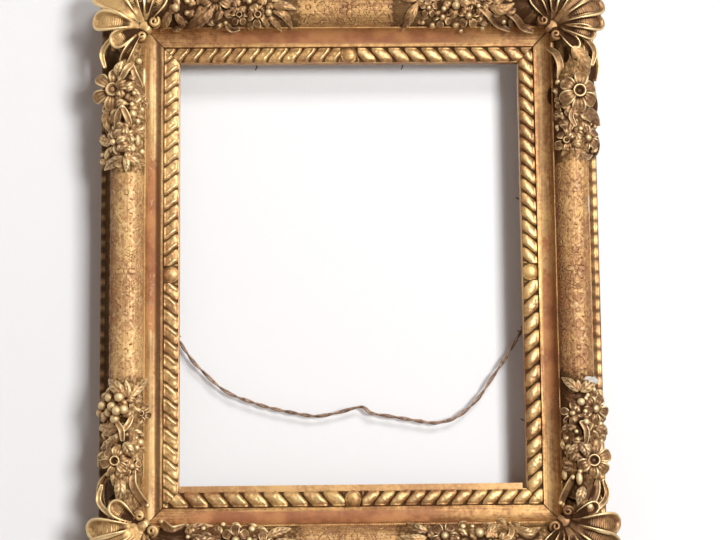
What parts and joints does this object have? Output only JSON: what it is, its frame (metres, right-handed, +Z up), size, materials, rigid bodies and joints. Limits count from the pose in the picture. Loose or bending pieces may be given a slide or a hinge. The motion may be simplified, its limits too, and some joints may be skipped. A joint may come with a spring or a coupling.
{
  "type": "ornate carved gilded picture frame",
  "caption": "Upright carved and gilded picture frame with mitred rails, corner shells, flower sprays, a rebate at the back and a swinging hanging wire.",
  "frame": {"origin": "centre of the frame on the plane of the rails' back", "axes": "+X to the viewer's right, front faces -Y, +Z up"},
  "size_m": [0.4798, 0.0732, 0.5578],
  "materials": {
    "gilt_rail": "water gilding over red bole, rubbed",
    "gilt_twist": "burnished gilding, worn on the lobes",
    "gilt_shell": "gilding over hatched carving",
    "gilt_spray": "toned gilding, bronze brown in the hollows",
    "gilt_slip": "matt gilding",
    "bare_wood": "old bare oak",
    "iron": "dark oxidised iron",
    "wire": "tarnished twisted wire"
  },
  "bodies": {
    "frame": {"rail_top": "gilt_rail", "sight_twist_top": "gilt_twist", "rail_bottom": "gilt_rail", "sight_twist_bottom": "gilt_twist", "rail_left": "gilt_rail", "sight_twist_left": "gilt_twist", "rail_right": "gilt_rail", "sight_twist_right": "gilt_twist", "corner_key_top_left": "bare_wood", "corner_shell_top_left": "gilt_shell", "corner_key_top_right": "bare_wood", "corner_shell_top_right": "gilt_shell", "corner_key_bottom_left": "bare_wood", "corner_shell_bottom_left": "gilt_shell", "corner_key_bottom_right": "bare_wood", "corner_shell_bottom_right": "gilt_shell", "spray_left_top": "gilt_spray", "spray_left_bottom": "gilt_spray", "spray_right_top": "gilt_spray", "spray_right_bottom": "gilt_spray", "spray_top_left": "gilt_spray", "spray_top_right": "gilt_spray", "spray_bottom_left": "gilt_spray", "spray_bottom_right": "gilt_spray", "bottom_slip": "gilt_slip", "rebate_brads": "iron", "screw_eye_left": "iron", "screw_eye_right": "iron"},
    "wire": {"hanging_wire": "wire", "wire_end_left": "wire", "wire_end_right": "wire"}
  },
  "joints": [
    {"name": "wire_swing", "type": "hinge", "parent": "frame", "child": "wire", "pos_m": [0, 0.0075, -0.03], "axis": [1, 0, 0], "range_deg": [-8, 170]}
  ]
}
